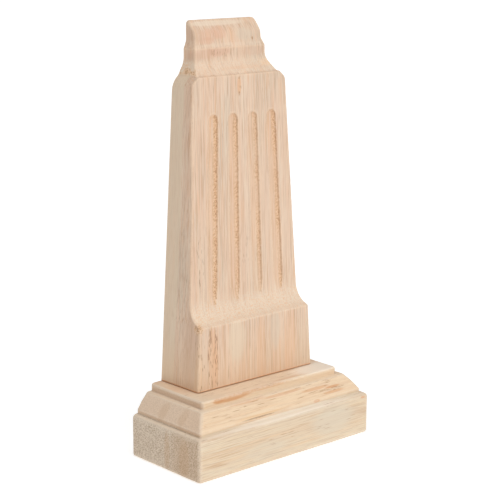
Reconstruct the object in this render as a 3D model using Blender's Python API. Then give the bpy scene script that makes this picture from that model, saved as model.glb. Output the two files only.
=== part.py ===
# Carved wooden corbel: a tapered, fluted body standing on a moulded plinth.
# Metres, +Z up. The front faces -Y, the flat back is at +Y, and X runs along the front.
# The origin is the centre of the plinth's footprint, on its underside.

from math import acos, cos, hypot, pi, sin, sqrt, tan

import bmesh
import bpy

# Body, with its heights counted from its own underside and its depths from the back
BODY_WIDTH = 0.0739
BODY_DEPTH = 0.0276
APRON_HEIGHT = 0.0306
APRON_LEAN = 0.0007
APRON_ROUND = 0.0007
COVE_RUN = 0.0079
COVE_RISE = 0.0021
COVE_RADIUS = 0.0104
FACE_HEIGHT = 0.1155
FACE_LEAN = 0.0040
SIDE_LEAN = 0.00775
SHOULDER_RUN = 0.0036
SHOULDER_DROP = 0.0033
SHOULDER_ROUND = 0.0090
FACE_TOP_ROUND = 0.0006
ARRIS_ROUND = 0.0009
BACK_ROUND = 0.0005

# Neck, from the shoulder up: the rise of each stretch, its run inwards on the sides, and its
# depth as a share of the shoulder's depth
FLARE_RISE = 0.0060
BAND_RISE = 0.0052
OGEE_RISE = 0.0044
NOSE_RISE = 0.0032
TOP_RISE = 0.0062
FLARE_RUN = 0.0033
OGEE_RUN = 0.00145
FLARE_SHARE = 0.893
BAND_SHARE = 0.547
NOSE_SHARE = 0.453
TOP_SHARE = 0.113
FLARE_ROUND = 0.0090
BAND_ROUND = 0.0015
OGEE_ROUND = 0.0040
NOSE_ROUND = 0.0080
TOP_ROUND = 0.0018

# Flutes: a flat floor with rounded corners; a squareness of 2 would make the section an ellipse
FLUTE_COUNT = 4
FLUTE_WIDTH = 0.0056
FLUTE_SINK = 0.00115
FLUTE_SQUARENESS = 3.0
FLUTE_TOP_MARGIN = 0.0184
FLUTE_FOOT_MARGIN = 0.0076
FLUTE_LIFT = 0.0090

# Plinth, sized by what it shows round the body's foot
SIDE_REVEAL = 0.00655
FRONT_REVEAL = 0.0113
BLOCK_HEIGHT = 0.0208
BLOCK_ROUND = 0.0012
BLOCK_TOP_ROUND = 0.0018
LOWER_LEDGE = 0.0029
LOWER_STEP = 0.0020
BEVEL_RUN = 0.0058
BEVEL_RISE = 0.0075
BEVEL_SWELL = 0.0003
BEVEL_ROUND = 0.0300
UPPER_LEDGE = 0.0028
UPPER_STEP = 0.0036
LEDGE_FALL = 0.0001
MOULDING_ROUND = 0.0005
JOINT_GAP = 0.0003

# Facets
ROUND_STEPS = 4
FLUTE_STEPS = 12
CUTTER_REACH = 0.0010
CLOSEST_HEIGHTS = 0.00008

MOULDING_RUN = LOWER_LEDGE + BEVEL_RUN + UPPER_LEDGE
PLINTH_WIDTH = BODY_WIDTH + 2 * (SIDE_REVEAL + MOULDING_RUN)
PLINTH_DEPTH = BODY_DEPTH + FRONT_REVEAL + MOULDING_RUN
PLINTH_TOP = BLOCK_HEIGHT + LOWER_STEP + BEVEL_RISE + UPPER_STEP
BACK = PLINTH_DEPTH / 2
BODY_FOOT = PLINTH_TOP + JOINT_GAP
SHOULDER_HEIGHT = APRON_HEIGHT + FACE_HEIGHT
SHOULDER_DEPTH = BODY_DEPTH - APRON_LEAN - COVE_RUN - FACE_LEAN

BODY_COLOUR = (0.76, 0.55, 0.38, 1.0)
PLINTH_COLOUR = (0.78, 0.60, 0.40, 1.0)
WOOD_ROUGHNESS = 0.72


def clear_scene():
    for item in list(bpy.data.objects):
        bpy.data.objects.remove(item, do_unlink=True)


def new_collection(name):
    collection = bpy.data.collections.new(name)
    bpy.context.scene.collection.children.link(collection)
    return collection


def wood(name, colour):
    material = bpy.data.materials.new(name)
    material.use_nodes = True
    shader = material.node_tree.nodes["Principled BSDF"]
    shader.inputs["Base Color"].default_value = colour
    shader.inputs["Roughness"].default_value = WOOD_ROUGHNESS
    shader.inputs["Metallic"].default_value = 0.0
    material.diffuse_color = colour
    return material


def arc(start, end, steps=ROUND_STEPS):
    return [start + (end - start) * step / steps for step in range(steps + 1)]


def rounded(corners):
    # Rounds the corners (height, value, radius) of an open profile, from its first point to its
    # last. Where two rounds don't fit on the line between them, both give way.
    lengths = [hypot(b[0] - a[0], b[1] - a[1]) for a, b in zip(corners, corners[1:])]
    directions = [
        ((b[0] - a[0]) / length, (b[1] - a[1]) / length)
        for a, b, length in zip(corners, corners[1:], lengths)
    ]
    turns = [0.0]
    for before, after in zip(directions, directions[1:]):
        turns.append(acos(min(1.0, before[0] * after[0] + before[1] * after[1])))
    turns.append(0.0)
    reaches = [radius * tan(turn / 2) for (_, _, radius), turn in zip(corners, turns)]
    fits = [min(1.0, length / max(reaches[i] + reaches[i + 1], 1e-9)) for i, length in enumerate(lengths)]
    points = [corners[0][:2]]
    for i in range(1, len(corners) - 1):
        height, value, radius = corners[i]
        share = min(fits[i - 1], fits[i])
        reach = reaches[i] * share
        if reach == 0.0:
            points.append((height, value))
            continue
        start = (height - directions[i - 1][0] * reach, value - directions[i - 1][1] * reach)
        across = directions[i - 1][0] * directions[i][1] - directions[i - 1][1] * directions[i][0]
        side = 1.0 if across > 0 else -1.0
        normal = (-directions[i - 1][1] * side, directions[i - 1][0] * side)
        for angle in arc(0.0, turns[i]):
            along = radius * share * sin(angle)
            aside = radius * share * (1 - cos(angle))
            points.append(
                (
                    start[0] + directions[i - 1][0] * along + normal[0] * aside,
                    start[1] + directions[i - 1][1] * along + normal[1] * aside,
                )
            )
    points.append(corners[-1][:2])
    return points


def value_at(profile, height):
    # Reads a profile, a list of (height, value) with rising heights, along its straight lines.
    for (low, first), (high, second) in zip(profile, profile[1:]):
        if height <= high and high > low:
            return first + (second - first) * max(height - low, 0.0) / (high - low)
    return profile[-1][1]


def shared_heights(*profiles):
    heights = sorted(height for profile in profiles for height, _ in profile)
    kept = heights[:1]
    for height in heights[1:]:
        if height - kept[-1] > CLOSEST_HEIGHTS:
            kept.append(height)
    kept[-1] = heights[-1]
    return kept


def outline(half_width, depth, front_round, back_round, height):
    # A rectangle with its back on BACK, rounded at the front and back corners.
    front_round = min(front_round, 0.4 * depth)
    back_round = min(back_round, 0.4 * depth)
    right = []
    for angle in arc(0.0, pi / 2):
        x = half_width - back_round * (1 - sin(angle))
        y = BACK - back_round * (1 - cos(angle))
        right.append((x, y, height))
    for angle in arc(0.0, pi / 2):
        x = half_width - front_round * (1 - cos(angle))
        y = BACK - depth + front_round * (1 - sin(angle))
        right.append((x, y, height))
    left = [(-x, y, height) for x, y, height in reversed(right)]
    return right + left


def stack(name, outlines, collection):
    # Extrudes the first outline through the others, which all have as many points.
    mesh = bmesh.new()
    base = mesh.faces.new([mesh.verts.new(point) for point in outlines[0]])
    cap = base
    for points in outlines[1:]:
        grown = bmesh.ops.extrude_face_region(mesh, geom=[cap])["geom"]
        if cap is not base:
            bmesh.ops.delete(mesh, geom=[cap], context="FACES_ONLY")
        cap = next(item for item in grown if isinstance(item, bmesh.types.BMFace))
        for corner, point in zip(cap.verts, points):
            corner.co = point
    bmesh.ops.recalc_face_normals(mesh, faces=mesh.faces)
    data = bpy.data.meshes.new(name)
    mesh.to_mesh(data)
    mesh.free()
    item = bpy.data.objects.new(name, data)
    collection.objects.link(item)
    return item


def plinth_profile():
    # (height, inset from the block) from the underside up to the top face. The first and last
    # corners only aim the rounds beside them at those two flats, so they are left out.
    inner = LOWER_LEDGE + BEVEL_RUN
    bevel_foot = BLOCK_HEIGHT + LOWER_STEP
    bevel_top = bevel_foot + BEVEL_RISE
    slant = hypot(BEVEL_RISE, BEVEL_RUN)
    crown_height = bevel_foot + BEVEL_RISE / 2 + BEVEL_SWELL * BEVEL_RUN / slant
    crown_inset = LOWER_LEDGE + BEVEL_RUN / 2 - BEVEL_SWELL * BEVEL_RISE / slant
    corners = [
        (0.0, BLOCK_ROUND, 0.0),
        (0.0, 0.0, BLOCK_ROUND),
        (BLOCK_HEIGHT - LEDGE_FALL, 0.0, BLOCK_TOP_ROUND),
        (BLOCK_HEIGHT, LOWER_LEDGE, 0.0),
        (bevel_foot, LOWER_LEDGE, MOULDING_ROUND),
        (crown_height, crown_inset, BEVEL_ROUND),
        (bevel_top - LEDGE_FALL, inner, MOULDING_ROUND),
        (bevel_top, MOULDING_RUN, 0.0),
        (PLINTH_TOP, MOULDING_RUN, MOULDING_ROUND),
        (PLINTH_TOP, MOULDING_RUN + MOULDING_ROUND, 0.0),
    ]
    return rounded(corners)[1:-1]


def make_plinth(collection):
    outlines = []
    for height, inset in plinth_profile():
        corner = max(BLOCK_ROUND - inset, MOULDING_ROUND)
        outlines.append(outline(PLINTH_WIDTH / 2 - inset, PLINTH_DEPTH - inset, corner, corner, height))
    plinth = stack("moulded_plinth", outlines, collection)
    plinth.data.materials.append(wood("plinth_wood", PLINTH_COLOUR))
    return plinth


def body_profiles():
    # The side profile as (height, half width) and the front profile as (height, depth).
    shoulder = BODY_WIDTH / 2 - SIDE_LEAN
    flare = shoulder - SHOULDER_RUN
    band = flare - FLARE_RUN
    nose = band - OGEE_RUN
    band_foot = SHOULDER_HEIGHT + FLARE_RISE
    band_top = band_foot + BAND_RISE
    nose_foot = band_top + OGEE_RISE
    nose_turn = nose_foot + NOSE_RISE
    top = nose_turn + TOP_RISE
    sides = [
        (0.0, BODY_WIDTH / 2, 0.0),
        (SHOULDER_HEIGHT - SHOULDER_DROP, shoulder, SHOULDER_ROUND),
        (SHOULDER_HEIGHT, flare, 0.0),
        (band_foot, band, FLARE_ROUND),
        (band_top, band, BAND_ROUND),
        (nose_foot, nose, OGEE_ROUND),
        (top, nose, TOP_ROUND),
        (top, nose - TOP_ROUND, 0.0),
    ]
    apron = BODY_DEPTH - APRON_LEAN
    front = [
        (0.0, BODY_DEPTH, 0.0),
        (APRON_HEIGHT, apron, APRON_ROUND),
        (APRON_HEIGHT + COVE_RISE, apron - COVE_RUN, COVE_RADIUS),
        (SHOULDER_HEIGHT - LEDGE_FALL, SHOULDER_DEPTH, FACE_TOP_ROUND),
        (SHOULDER_HEIGHT, SHOULDER_DEPTH * FLARE_SHARE, 0.0),
        (band_foot, SHOULDER_DEPTH * BAND_SHARE, FLARE_ROUND),
        (band_top, SHOULDER_DEPTH * BAND_SHARE, BAND_ROUND),
        (nose_foot, SHOULDER_DEPTH * NOSE_SHARE, OGEE_ROUND),
        (nose_turn, SHOULDER_DEPTH * NOSE_SHARE, NOSE_ROUND),
        (top, SHOULDER_DEPTH * TOP_SHARE, 0.0),
    ]
    return rounded(sides), rounded(front)


def flute_lift(height):
    # How far the cutter has risen out of the wood: none down to the lift, then a straight run out.
    foot = APRON_HEIGHT + FLUTE_FOOT_MARGIN
    return FLUTE_SINK * max(0.0, 1.0 - (height - foot) / FLUTE_LIFT)


def flute_centre(index, height, sides, front):
    # The flutes share the front face's width evenly, so they fan out with its taper.
    x = value_at(sides, height) * (2 * (index + 1) / (FLUTE_COUNT + 1) - 1)
    return x, BACK - value_at(front, height)


def flute_ring(centre, height, past_end):
    # One section of the cutter. It narrows and gets shallower past the start of the round end.
    x, face = centre
    reach = FLUTE_WIDTH / 2
    half = sqrt(reach**2 - past_end**2)
    front = face - flute_lift(height)
    points = []
    for angle in arc(0.05 * pi, 0.95 * pi, FLUTE_STEPS):
        across = half * cos(angle)
        rim = hypot(across, past_end) / reach
        points.append((x + across, front + FLUTE_SINK * sqrt(1 - rim**FLUTE_SQUARENESS), BODY_FOOT + height))
    for side in (-1, 1):
        points.append((x + side * half, front - CUTTER_REACH, BODY_FOOT + height))
    return points


def flute_cutter(index, sides, front, collection):
    # The cutter's path: sections up the face, closed by the flute's round end.
    foot = APRON_HEIGHT + FLUTE_FOOT_MARGIN
    reach = FLUTE_WIDTH / 2
    end = SHOULDER_HEIGHT - FLUTE_TOP_MARGIN - reach
    rings = [(foot + FLUTE_LIFT * share, 0.0) for share in arc(-0.2, 1.0, 6)]
    rings += [(end + reach * sin(angle), reach * sin(angle)) for angle in arc(0.0, 0.45 * pi, 6)]
    outlines = [
        flute_ring(flute_centre(index, height, sides, front), height, past_end)
        for height, past_end in rings
    ]
    cutter = stack(f"flute_cutter_{index + 1}", outlines, collection)
    cutter.hide_render = True
    cutter.display_type = "WIRE"
    return cutter


def make_body(collection, cutters):
    sides, front = body_profiles()
    outlines = [
        outline(value_at(sides, height), value_at(front, height), ARRIS_ROUND, BACK_ROUND, BODY_FOOT + height)
        for height in shared_heights(sides, front)
    ]
    body = stack("fluted_body", outlines, collection)
    body.data.materials.append(wood("body_wood", BODY_COLOUR))
    for index in range(FLUTE_COUNT):
        cut = body.modifiers.new(f"flute_{index + 1}", "BOOLEAN")
        cut.object = flute_cutter(index, sides, front, cutters)
        cut.operation = "DIFFERENCE"
        cut.solver = "EXACT"
    return body


def main():
    clear_scene()
    parts = new_collection("carved_wooden_corbel")
    cutters = new_collection("cutters")
    make_plinth(parts)
    make_body(parts, cutters)


main()
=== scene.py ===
from functools import lru_cache
from math import acos, copysign, cos, hypot, radians, sin, sqrt, tan

import bmesh
import bpy
from mathutils import Matrix, Vector, noise


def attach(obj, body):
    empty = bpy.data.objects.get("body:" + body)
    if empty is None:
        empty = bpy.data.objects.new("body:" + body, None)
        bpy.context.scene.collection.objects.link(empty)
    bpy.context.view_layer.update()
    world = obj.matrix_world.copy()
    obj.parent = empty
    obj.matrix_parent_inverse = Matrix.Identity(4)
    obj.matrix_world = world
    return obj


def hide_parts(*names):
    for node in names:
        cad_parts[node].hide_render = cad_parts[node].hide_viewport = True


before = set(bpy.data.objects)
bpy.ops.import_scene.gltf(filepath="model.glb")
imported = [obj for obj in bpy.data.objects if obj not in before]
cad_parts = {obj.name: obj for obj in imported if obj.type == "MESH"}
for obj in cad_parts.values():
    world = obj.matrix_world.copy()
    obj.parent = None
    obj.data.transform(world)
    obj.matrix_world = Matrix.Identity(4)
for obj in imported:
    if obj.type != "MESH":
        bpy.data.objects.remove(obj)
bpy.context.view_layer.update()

mm = 0.001
touching = 1e-7  # metres; nearer than this counts as the same place
arrisSegments = 4  # flats across a rounded upright edge
edgeBend = (150.0, 700.0)  # turn of the surface per metre, from no edge to a full one


def smooth(low, high, value):
    share = min(1.0, max(0.0, (value - low) / (high - low)))
    return share * share * (3 - 2 * share)


def window(value, low, full, fade, high):
    # 0 outside low..high, 1 between full and fade
    return smooth(low, full, value) * (1 - smooth(fade, high, value))


def ripple(spot, sizes):
    # smooth noise from -1 to 1, with a wave length for each axis
    return noise.noise(Vector([value / size for value, size in zip(spot, sizes)]))


def sway(spot, sizes):
    # the same from 0 to 1
    return 0.5 + 0.5 * ripple(spot, sizes)


def readProfile(profile, height):
    # straight lines between the (height, value) points of a profile
    for (low, first), (high, second) in zip(profile, profile[1:]):
        if height <= high and high > low:
            return first + (second - first) * max(height - low, 0.0) / (high - low)
    return profile[-1][1]


def roundProfile(corners, steps=5):
    # fillets every (height, value, radius) corner; neighbours share a line that is too short
    lengths = [hypot(b[0] - a[0], b[1] - a[1]) for a, b in zip(corners, corners[1:])]
    aims = [
        ((b[0] - a[0]) / size, (b[1] - a[1]) / size)
        for a, b, size in zip(corners, corners[1:], lengths)]
    turns = [acos(min(1.0, a[0] * b[0] + a[1] * b[1])) for a, b in zip(aims, aims[1:])]
    turns = [0.0] + turns + [0.0]
    reaches = [corner[2] * tan(turn / 2) for corner, turn in zip(corners, turns)]
    fits = [min(1.0, size / max(reaches[i] + reaches[i + 1], 1e-9)) for i, size in enumerate(lengths)]
    points = [corners[0][:2]]
    for i in range(1, len(corners) - 1):
        height, value, radius = corners[i]
        share = min(fits[i - 1], fits[i])
        reach = reaches[i] * share
        if reach == 0.0:
            points.append((height, value))
            continue
        before, after = aims[i - 1], aims[i]
        side = 1.0 if before[0] * after[1] - before[1] * after[0] > 0 else -1.0
        for step in range(steps + 1):
            angle = turns[i] * step / steps
            along = radius * share * sin(angle) - reach
            aside = radius * share * (1 - cos(angle)) * side
            points.append((
                height + before[0] * along - before[1] * aside,
                value + before[1] * along + before[0] * aside))
    points.append(corners[-1][:2])
    return points


def outlineFace(bm, halfWidth, depth, back, frontRound, backRound, stops, cuts):
    # the foot of a stack: four corners, rounded, with its edges cut for the relief
    fore = back - depth
    corners = [bm.verts.new(spot) for spot in (
        (-halfWidth, back, 0), (halfWidth, back, 0), (halfWidth, fore, 0), (-halfWidth, fore, 0))]
    bm.faces.new(corners)
    for pair, reach in ((corners[:2], backRound), (corners[2:], frontRound)):
        bmesh.ops.bevel(
            bm, geom=pair, affect="VERTICES", offset=reach, segments=arrisSegments, profile=0.5, material=-1)

    def edgesOn(axis, place):
        return [e for e in bm.edges if all(abs(v.co[axis] - place) < touching for v in e.verts)]

    front = edgesOn(1, fore)
    if stops:
        # the front edge first gets a point at every stop, then each stretch its own cuts
        bmesh.ops.subdivide_edges(bm, edges=front, cuts=len(stops))
        onFront = sorted((v for v in bm.verts if abs(v.co.y - fore) < touching), key=lambda v: v.co.x)
        for vert, x in zip(onFront[1:-1], stops):
            vert.co.x = x
        front = sorted(edgesOn(1, fore), key=lambda e: e.verts[0].co.x + e.verts[1].co.x)
    for number, edge in enumerate(front):
        many = cuts["front"][number % len(cuts["front"])] if stops else cuts["front"]
        if number in (0, len(front) - 1) and stops:
            many = cuts["margin"]
        bmesh.ops.subdivide_edges(bm, edges=[edge], cuts=many)
    # one edge a call, so that the face stays whole
    for axis, place, key in ((0, -halfWidth, "side"), (0, halfWidth, "side"), (1, back, "back")):
        bmesh.ops.subdivide_edges(bm, edges=edgesOn(axis, place), cuts=cuts[key])
    return next(iter(bm.faces))


def growStack(bm, base, rows, section):
    # extrudes the foot face row by row and slides each new ring to its section
    homes = [vert.co.copy() for vert in base.verts]
    cap = base
    for number, row in enumerate(rows):
        if number:
            grown = bmesh.ops.extrude_face_region(bm, geom=[cap])["geom"]
            if number > 1:
                bmesh.ops.delete(bm, geom=[cap], context="FACES_ONLY")
            cap = next(item for item in grown if isinstance(item, bmesh.types.BMFace))
        slide = section(row)
        for vert, home in zip(cap.verts, homes):
            vert.co = slide(home)
    bmesh.ops.recalc_face_normals(bm, faces=bm.faces)


def rowsFor(length, gap):
    # how many even rows fill a length, rather one too many than one too few
    return max(1, round(length / gap + 0.3))


def fillRows(stations, gap):
    # adds even rows between stations that stand further apart than the gap
    rows = [stations[0]]
    for station in stations[1:]:
        parts = rowsFor(station - rows[-1], gap)
        start = rows[-1]
        rows += [start + (station - start) * part / parts for part in range(1, parts + 1)]
    return rows


def addMarks(bm, *names):
    # one attribute for each name, for the relief and the woods
    for name in names:
        bm.verts.layers.float.new(name)
    return [bm.verts.layers.float[name] for name in names]


def addObject(name, data):
    item = bpy.data.objects.new(name, data)
    bpy.context.scene.collection.objects.link(item)
    return item


def finishPiece(bm, name, material, node):
    for face in bm.faces:
        face.smooth = len(face.verts) == 4
    data = bpy.data.meshes.new(name)
    bm.to_mesh(data)
    bm.free()
    data.materials.append(material)
    piece = addObject(name, data)
    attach(piece, "root")
    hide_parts(node)
    print(name, len(data.polygons), "faces")


class Nodes:
    # a node tree with short calls: add a node, give it values or links, take an output
    def __init__(self, tree):
        self.tree = tree

    def add(self, kind, values=None, **settings):
        node = self.tree.nodes.new(kind)
        for name, value in settings.items():
            setattr(node, name, value)
        for key, value in (values or {}).items():
            self.put(node.inputs[key], value)
        return node

    def put(self, socket, value):
        if isinstance(value, bpy.types.NodeSocket):
            self.tree.links.new(value, socket)
        else:
            socket.default_value = value

    def math(self, operation, *values, clamp=False):
        node = self.add("ShaderNodeMath", operation=operation, use_clamp=clamp)
        for socket, value in zip(node.inputs, values):
            self.put(socket, value)
        return node.outputs[0]

    def times(self, first, second):
        return self.math("MULTIPLY", first, second)

    def vectorMath(self, operation, *values):
        return self.add("ShaderNodeVectorMath", dict(enumerate(values)), operation=operation).outputs

    def ramp(self, value, low, high, start=0.0, end=1.0):
        values = {0: value, 1: low, 2: high, 3: start, 4: end}
        return self.add("ShaderNodeMapRange", values, interpolation_type="SMOOTHSTEP").outputs[0]

    def mix(self, share, first, second, blend="MIX"):
        node = self.add("ShaderNodeMix", data_type="RGBA", blend_type=blend)
        for socket, value in zip((node.inputs[0], node.inputs[6], node.inputs[7]), (share, first, second)):
            self.put(socket, value)
        return node.outputs[2]

    def tint(self, colour, over, mask, amount):
        # lays one colour over another where the mask says, as strongly as the amount says
        return self.mix(self.times(mask, amount), colour, over)

    def place(self, vector, scale, shift=(0, 0, 0)):
        node = self.add("ShaderNodeMapping", {"Vector": vector, "Scale": scale, "Location": shift})
        return node.outputs[0]

    def noise(self, vector, detail=2.0, roughness=0.5):
        values = {"Vector": vector, "Scale": 1.0, "Detail": detail, "Roughness": roughness}
        return self.add("ShaderNodeTexNoise", values).outputs[0]

    def useGroup(self, group, values):
        return self.add("ShaderNodeGroup", values, node_tree=group).outputs

    def attribute(self, name):
        return self.add("ShaderNodeAttribute", attribute_name=name).outputs["Fac"]


def newGroup(name, inputs, outputs):
    tree = bpy.data.node_groups.new(name, "ShaderNodeTree")
    kinds = {"v": "NodeSocketVector", "f": "NodeSocketFloat", "c": "NodeSocketColor"}
    for title, (kind, value) in inputs.items():
        socket = tree.interface.new_socket(title, in_out="INPUT", socket_type=kinds[kind])
        if value is not None:
            socket.default_value = value
    for title, kind in outputs.items():
        tree.interface.new_socket(title, in_out="OUTPUT", socket_type=kinds[kind])
    nodes = Nodes(tree)
    return nodes, nodes.add("NodeGroupInput").outputs, nodes.add("NodeGroupOutput").inputs


def grainGroup():
    # grain runs along Z of the vector it is given; sizes are in metres
    bandStretch, fibreStretch, lineStretch, lineBreak = 24.0, 50.0, 34.0, 4.0  # lengths over widths
    inputs = {
        "Vector": ("v", None), "Band": ("f", 0.005), "Fibre": ("f", 0.0006), "Line": ("f", 0.002),
        "Pore": ("f", 0.0003), "Pore length": ("f", 0.004), "Pore share": ("f", 0.2)}
    outputs = {"Bands": "f", "Fibre": "f", "Lines": "f", "Pores": "f", "Slow": "f"}
    nodes, given, result = newGroup("woodGrain", inputs, outputs)
    parts = nodes.add("ShaderNodeSeparateXYZ", {0: given["Vector"]}).outputs

    def stretched(size, length, seed):
        across = [nodes.math("DIVIDE", parts[axis], size) for axis in (0, 1)]
        along = nodes.math("ADD", nodes.math("DIVIDE", parts[2], length), seed)
        return nodes.add("ShaderNodeCombineXYZ", {0: across[0], 1: across[1], 2: along}).outputs[0]

    def scaled(name, factor):
        return nodes.times(given[name], factor)

    bands = nodes.noise(stretched(given["Band"], scaled("Band", bandStretch), 3.7), 2.5, 0.55)
    nodes.put(result["Bands"], nodes.ramp(bands, 0.3, 0.7))
    fibre = nodes.noise(stretched(given["Fibre"], scaled("Fibre", fibreStretch), 1.3), 3.0, 0.7)
    nodes.put(result["Fibre"], fibre)
    # thin lines where a slow noise passes its middle value
    ring = nodes.noise(stretched(given["Line"], scaled("Line", lineStretch), 5.1), 1.0, 0.5)
    ring = nodes.math("ABSOLUTE", nodes.math("SUBTRACT", ring, 0.5))
    broken = nodes.ramp(nodes.noise(stretched(given["Line"], scaled("Line", lineBreak), 8.3), 1.0), 0.38, 0.6)
    nodes.put(result["Lines"], nodes.times(nodes.ramp(ring, 0.005, 0.045, 1.0, 0.0), broken))
    slow = nodes.noise(nodes.place(given["Vector"], (60, 60, 14)), 2.0)
    nodes.put(result["Slow"], slow)
    # pores are short dashes, one to a cell, and only some of the cells have one
    cell = stretched(scaled("Pore", 1.8), scaled("Pore length", 1.8), 9.1)
    cells = nodes.add("ShaderNodeTexVoronoi", {"Vector": cell, "Scale": 1.0, "Randomness": 1.0}).outputs
    pick = nodes.add("ShaderNodeSeparateColor", {0: cells["Color"]}).outputs[0]
    level = nodes.math("MULTIPLY_ADD", nodes.math("SUBTRACT", slow, 0.5), 1.2, given["Pore share"])
    chosen = nodes.math("LESS_THAN", pick, level)
    dash = nodes.ramp(cells["Distance"], 0.20, 0.36, 1.0, 0.0)
    nodes.put(result["Pores"], nodes.times(chosen, dash))
    return nodes.tree


def patchGroup():
    # one soft-edged patch round a centre, ragged along the grain
    inputs = {
        "Vector": ("v", None), "Centre": ("v", (0, 0, 0)), "Reach": ("v", (0.01, 0.01, 0.01)),
        "Ragged": ("f", 0.35), "Ragged size": ("v", (900, 900, 90))}
    nodes, given, result = newGroup("tonePatch", inputs, {"Mask": "f"})
    offset = nodes.vectorMath("SUBTRACT", given["Vector"], given["Centre"])[0]
    scaled = nodes.vectorMath("DIVIDE", offset, given["Reach"])[0]
    far = nodes.vectorMath("LENGTH", scaled)["Value"]
    grainy = nodes.vectorMath("MULTIPLY", given["Vector"], given["Ragged size"])[0]
    wobble = nodes.math("SUBTRACT", nodes.noise(grainy, 2.0, 0.6), 0.5)
    far = nodes.math("MULTIPLY_ADD", wobble, nodes.times(given["Ragged"], 2.0), far)
    nodes.put(result["Mask"], nodes.ramp(far, 0.55, 1.0, 1.0, 0.0))
    return nodes.tree


def wearGroup():
    # breaks an edge mask up, as rubbing does; the paler edges it gives are partly wear and partly painted
    # highlight
    inputs = {"Vector": ("v", None), "Edge": ("f", 0.0), "Amount": ("f", 0.5)}
    nodes, given, result = newGroup("edgeWearAndHighlight", inputs, {"Mask": "f"})
    broken = nodes.noise(nodes.place(given["Vector"], (500, 500, 500)), 3.0, 0.6)
    broken = nodes.ramp(broken, 0.32, 0.65, 0.35, 1.0)
    paleEdge = nodes.times(given["Edge"], broken)
    nodes.put(result["Mask"], nodes.times(paleEdge, given["Amount"]))
    return nodes.tree


woodGrain = grainGroup()
tonePatch = patchGroup()
edgeWearAndHighlight = wearGroup()
print("shared effects built")


body = {
    "width": 73.9 * mm, "depth": 27.6 * mm, "back": 25.2 * mm, "foot": 34.2 * mm,
    "apron": 30.6 * mm, "apronLean": 0.7 * mm, "apronRound": 0.7 * mm,
    "coveRun": 7.9 * mm, "coveRise": 2.1 * mm, "coveRadius": 10.4 * mm,
    "face": 115.5 * mm, "faceLean": 4.0 * mm, "faceTopRound": 0.6 * mm,
    "sideLean": 7.75 * mm, "shoulderRun": 3.6 * mm, "shoulderDrop": 3.3 * mm,
    "shoulderRound": 9.0 * mm, "shoulderSharp": 3.0 * mm,  # at the back and, less, at the front
    "arris": 0.8 * mm, "backRound": 0.5 * mm,
    # the neck's members from its foot up
    "flareRise": 6.0 * mm, "bandRise": 6.0 * mm, "ogeeRise": 3.6 * mm,
    "noseRise": 3.2 * mm, "topRise": 6.2 * mm,
    "flareRun": 3.3 * mm, "ogeeRun": 1.45 * mm,
    "flareRound": 9.0 * mm, "bandRound": 0.9 * mm, "ogeeRound": 4.0 * mm,
    "noseRound": 8.0 * mm, "topRound": 1.8 * mm,
    # their depths as shares of the shoulder's
    "flareDepth": 0.893, "bandDepth": 0.547, "noseDepth": 0.453, "topDepth": 0.113,
    "neckTurn": 0.5 * mm,  # the neck was cut a little deeper on its right
    "turnRise": (2 * mm, 8 * mm),  # heights over the shoulder where that turn sets in and is full
    "leftDraft": 0.8 * mm,  # how far the left side narrows towards the face
    "draftFoot": (30 * mm, 34 * mm), "draftHead": (92 * mm, 118 * mm), "apronDraft": 0.3,
    "rowGap": 0.5 * mm, "rowMerge": 0.08 * mm,
    # cuts of the outline: between and in the flutes, beside them, at the sides and at the back
    "cuts": {"front": (15, 11), "margin": 21, "side": 38, "back": 34},
    # heights are over the apron for the cove and over the shoulder for the flare
    "wear": {
        "coveFuzz": (-0.2 * mm, 0.8 * mm, 4 * mm, 14 * mm), "flareFuzz": (0.0, 0.6 * mm, 5 * mm, 8 * mm),
        "fuzzDepth": 0.08 * mm, "fuzzSize": (1.0 * mm, 1.0 * mm, 1.0 * mm),
        "flareTear": (0.0, 1 * mm, 2.6 * mm, 4.2 * mm),
        "tearDepth": 0.16 * mm, "tearSize": (2.2 * mm, 1, 1.6 * mm),
        "creaseDepth": 0.02 * mm, "creaseFade": (0.1 * mm, 0.5 * mm),
        "coveFoot": 1.4 * mm, "coveFootFade": (0.2 * mm, 0.9 * mm),
        "swellDepth": 0.09 * mm, "swellSize": (9 * mm, 9 * mm, 30 * mm),
        "nickDepth": 0.16 * mm, "nickSize": (1 / 90, 1 / 90, 2.2 * mm),
        "chipCentre": (-35.4 * mm, -0.6 * mm, 65.0 * mm), "chipReach": (1.0 * mm, 4.6 * mm),
        "chipDepth": 0.55 * mm, "chipSize": (1.2 * mm, 1.2 * mm, 1.2 * mm),
    },
}
flute = {
    "count": 4, "half": 2.8 * mm, "sink": 1.15 * mm, "topMargin": 18.4 * mm, "footMargin": 7.6 * mm,
    "lift": 9.0 * mm, "narrowing": 0.22,  # length of the run-out at the foot, and how late it narrows
    "gather": 1.35,  # how closely the columns of the mesh stand at the steep rims
    "edgeWander": 0.24 * mm, "wanderLength": 2.0 * mm,
    "chatter": 0.17 * mm, "calm": 0.12, "tearSlant": 0.7, "tearLength": 14 * mm,
    # width, length, seed and strength
    "tufts": ((1.0 * mm, 0.9 * mm, 5.0, 1.0), (0.5 * mm, 0.45 * mm, 9.0, 0.7)),
    # each flute from the left: its shift at the top and at the foot, the rise of its ends, its tear-out
    "topShift": (1.0 * mm, 1.2 * mm, 1.4 * mm, 1.3 * mm),
    "footShift": (0.9 * mm, 1.3 * mm, 2.2 * mm, 2.0 * mm),
    "tops": (0.6 * mm, 0.4 * mm, 0.2 * mm, 0.3 * mm), "feet": (-1.2 * mm, -0.8 * mm, 0.2 * mm, 0.4 * mm),
    "torn": (0.25, 0.15, -0.10, 0.10),
    "spread": (0.9, 0.35, 0.25, 0.45),  # how far the tear-out reaches over the floor, of the half width
    "tint": (0.82, 0.62, 0.58, 0.68),  # how strongly the torn wall is coloured, its orange partly painted light against the wall's shade
}

shoulderHeight = body["apron"] + body["face"]
shoulderDepth = body["depth"] - body["apronLean"] - body["coveRun"] - body["faceLean"]


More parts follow.
